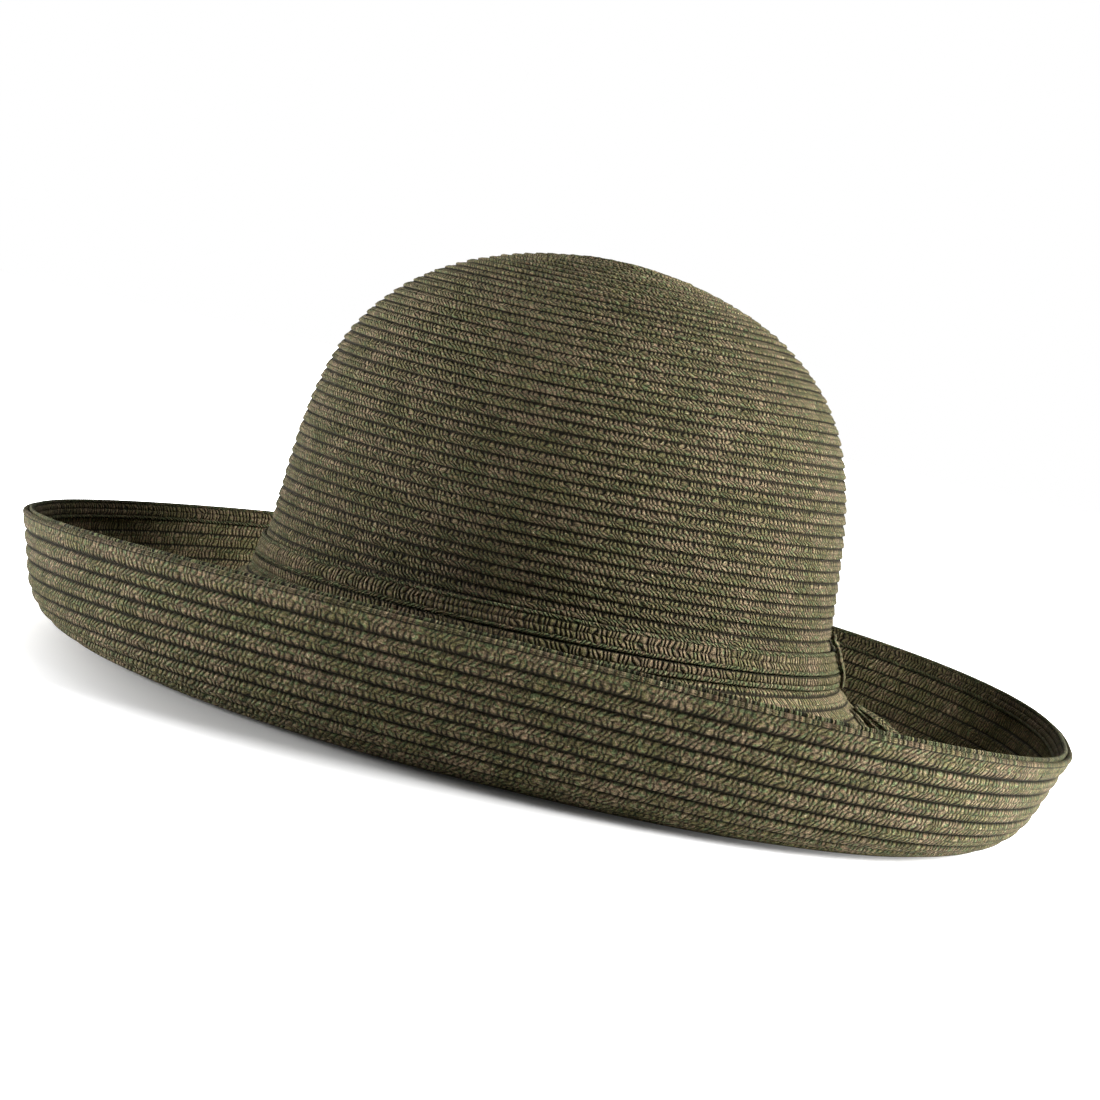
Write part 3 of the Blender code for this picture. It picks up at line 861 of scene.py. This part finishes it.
def make_tail(name, table):
    back = np.array(REAR)
    foot = slope_point(back, 1.0)
    run = np.linalg.norm(foot - slope_point(back, 0.0))
    start, end = slope_point(back, 0.0), fold_point(back, FOLD_SOFTNESS + FOOT_WIDTH)
    steepness = SLOPE_CURVE * start[2] / abs(end[1] - start[1])
    stand_off = BAND_THICKNESS + 3.0 * CLEARANCE + NARROW_ROW_SPREAD
    reach = 2.0 * WALL + 4.0 * CLEARANCE + stand_off + WRAP_THICKNESS
    first = reach * math.sqrt(1.0 + steepness ** 2) / run
    side = np.array((1.0, 0.0, 0.0))
    centre, across, thick = [], [], []
    for along, side_share, lift_share, turn in spread(table, 40):
        share = first + along * TAIL_REACH * (1.0 - first)
        low, high = slope_point(back, share - 0.01), slope_point(back, min(share + 0.01, 1.0))
        out = unit(np.cross(side, unit(high - low)))
        angle = math.radians(turn)
        rest = 0.5 * TAIL_THICKNESS + 0.5 * TAIL_WIDTH * abs(math.sin(angle)) + 2.0 * CLEARANCE
        centre.append(slope_point(back, share) + out * (WALL + rest + TAIL_LIFT * lift_share)
                      + side * (TAIL_SPREAD * side_share))
        across.append(side * math.cos(angle) + out * math.sin(angle))
        thick.append(out * math.cos(angle) - side * math.sin(angle))
    piece = braid_strip(name, np.array(centre), np.array(across), np.array(thick),
                        TAIL_WIDTH, TAIL_THICKNESS, tie_finish)
    return piece, np.array(centre)


def declare_end(piece, node):
    dress(piece, node)


tail_left, path_left = make_tail("tie_left_end", TAIL_LEFT)
declare_end(tail_left, "tie_tail_left")
tail_right, path_right = make_tail("tie_right_end", TAIL_RIGHT)
declare_end(tail_right, "tie_tail_right")

# %% [markdown]
# ## Floor, light and camera
# The hat stands on a white floor in soft studio light, and the floor glows around the hat as painted
# light. The sky is white behind the hat and nearly dark on the camera's side, so that the near side of
# the hat keeps its depth.

# %% Floor
FLOOR_RADIUS = 30.0
# The floor glows from just outside the hat, most of all at the left and right of the picture, as
# painted light that fills in the hat's shadows on the floor and lights the brim from below
GLOW_START, GLOW_FULL, GLOW_FRONT, GLOW_SIDES, GLOW_STRENGTH = 0.13, 0.19, 0.30, 3.9, 0.7
deselect_all()
bpy.ops.mesh.primitive_circle_add(vertices=96, radius=FLOOR_RADIUS, fill_type="NGON")
floor = bpy.context.active_object
floor.name = "studio_floor"
white = Look("studio_white_painted_glow")
white.shader.inputs["Base Color"].default_value = (0.93, 0.93, 0.93, 1.0)
white.shader.inputs["Roughness"].default_value = 0.9
white.shader.inputs["Specular IOR Level"].default_value = 0.0
ground = white.node("ShaderNodeTexCoord", output=3)
apart = white.node("ShaderNodeVectorMath", {"operation": "LENGTH"}, {0: ground}, output=1)
ground_y = Wire(white, white.node("ShaderNodeSeparateXYZ", None, {0: ground}).socket.node.outputs[1])
sideways = ground_y.size().rise(0.05, 0.35)
glow = apart.rise(GLOW_START, GLOW_FULL) * (GLOW_FRONT + GLOW_SIDES * sideways) + apart.rise(0.9, 1.6)
white.join(white.shader.inputs["Emission Color"], white.vector(glow, glow, glow))
white.shader.inputs["Emission Strength"].default_value = GLOW_STRENGTH
floor.data.materials.append(white.material)
print("Floor radius:", FLOOR_RADIUS)

# %% [markdown]
# The camera stands low over the floor at the photograph's angle. It is rolled, so that the level
# hat seems tipped. Depth of field stays off.

# %% Camera
CAMERA_PLACE = (0.6882, 0.1282, 0.1130)
CAMERA_LENS = 66.66
AZIMUTH, PITCH, ROLL = math.radians(10.7), math.radians(4.5), math.radians(12.5)
forward = Vector((-math.cos(PITCH) * math.cos(AZIMUTH), -math.cos(PITCH) * math.sin(AZIMUTH),
                  -math.sin(PITCH)))
right = Vector((-math.sin(AZIMUTH), math.cos(AZIMUTH), 0.0))
above = right.cross(forward)
camera_x = right * math.cos(ROLL) + above * math.sin(ROLL)
camera_y = above * math.cos(ROLL) - right * math.sin(ROLL)
bpy.ops.object.camera_add()
camera = bpy.context.active_object
camera.name = "camera"
turned = Matrix((camera_x, camera_y, -forward)).transposed().to_4x4()
camera.matrix_world = Matrix.Translation(CAMERA_PLACE) @ turned
camera.data.lens = CAMERA_LENS
camera.data.sensor_width = 36.0
camera.data.clip_start = 0.02
camera.data.clip_end = 100.0
bpy.context.scene.camera = camera
print("Camera at", [round(value, 3) for value in camera.location])

# %% [markdown]
# Two softboxes graze the hat from the right and the left of the picture, so that every course
# throws its own small shadow, and a weak one fills in from above.

# %% Lights
HAT_MIDDLE = Vector((0.0, 0.0, 0.06))
# Name, place, size and power
SOFTBOXES = (
    ("softbox_right", (-0.05, 1.40, 0.70), 0.7, 76.0),
    ("softbox_left", (0.12, -1.35, 0.12), 0.5, 44.0),
    ("softbox_top", (-0.5, 0.3, 1.6), 1.2, 10.0),
)
SKY_IN_FRONT, SKY_BEHIND = 0.05, 1.0


def softbox(name, place, size, power):
    bpy.ops.object.light_add(type="AREA", location=place)
    lamp = bpy.context.active_object
    lamp.name = name
    lamp.data.shape = "SQUARE"
    lamp.data.size = size
    lamp.data.energy = power
    aim = HAT_MIDDLE - Vector(place)
    lamp.rotation_euler = aim.to_track_quat("-Z", "Y").to_euler()
    return lamp


for name, place, size, power in SOFTBOXES:
    softbox(name, place, size, power)

world = bpy.data.worlds.new("studio_sky")
bpy.context.scene.world = world
world.use_nodes = True
nodes, links = world.node_tree.nodes, world.node_tree.links
background = nodes["Background"]
background.inputs["Color"].default_value = (1.0, 1.0, 1.0, 1.0)
direction = nodes.new("ShaderNodeTexCoord")
toward = nodes.new("ShaderNodeVectorMath")
toward.operation = "DOT_PRODUCT"
toward.inputs[1].default_value = tuple(forward)
fade = nodes.new("ShaderNodeMapRange")
fade.interpolation_type = "SMOOTHSTEP"
fade.inputs["From Min"].default_value = 0.0
fade.inputs["From Max"].default_value = 0.9
fade.inputs["To Min"].default_value = SKY_IN_FRONT
fade.inputs["To Max"].default_value = SKY_BEHIND
links.new(direction.outputs["Generated"], toward.inputs[0])
links.new(toward.outputs["Value"], fade.inputs["Value"])
links.new(fade.outputs["Result"], background.inputs["Strength"])
bpy.context.scene.view_settings.view_transform = "Standard"
